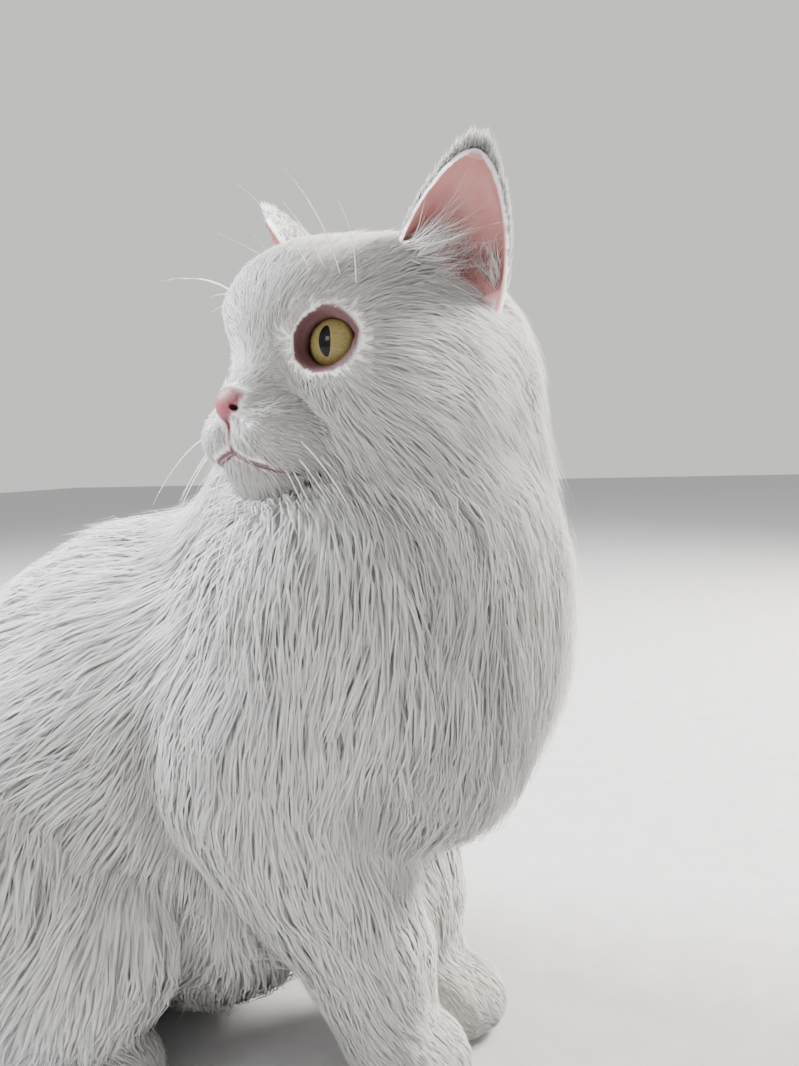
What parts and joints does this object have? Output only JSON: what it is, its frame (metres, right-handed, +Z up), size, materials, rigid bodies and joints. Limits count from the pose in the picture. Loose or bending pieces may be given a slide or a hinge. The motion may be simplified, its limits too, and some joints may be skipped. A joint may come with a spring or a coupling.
{
  "type": "persian cat",
  "caption": "Life-size still model of a sitting long-haired white cat, head turned to its right, tail laid along the floor at its left side.",
  "frame": {"origin": "middle of the model's box at floor level", "axes": "+Z up, the chest faces +X, the cat's left side is +Y"},
  "size_m": [0.3646, 0.3018, 0.3435],
  "materials": {
    "coat": "long soft white fur",
    "ear_skin": "thin pink skin under short white fur",
    "eye": "wet gloss over an olive-yellow iris"
  },
  "bodies": {
    "root": {"ear_left": "ear_skin", "ear_right": "ear_skin", "eye_left": "eye", "eye_right": "eye", "foreleg_left": "coat", "foreleg_right": "coat", "forepaw_left": "coat", "forepaw_right": "coat", "head": "coat", "hind_foot_left": "coat", "hind_foot_right": "coat", "neck": "coat", "tail_base": "coat", "tail_middle": "coat", "tail_tip": "coat", "thigh_left": "coat", "thigh_right": "coat", "torso_front": "coat", "torso_rear": "coat"}
  },
  "joints": []
}
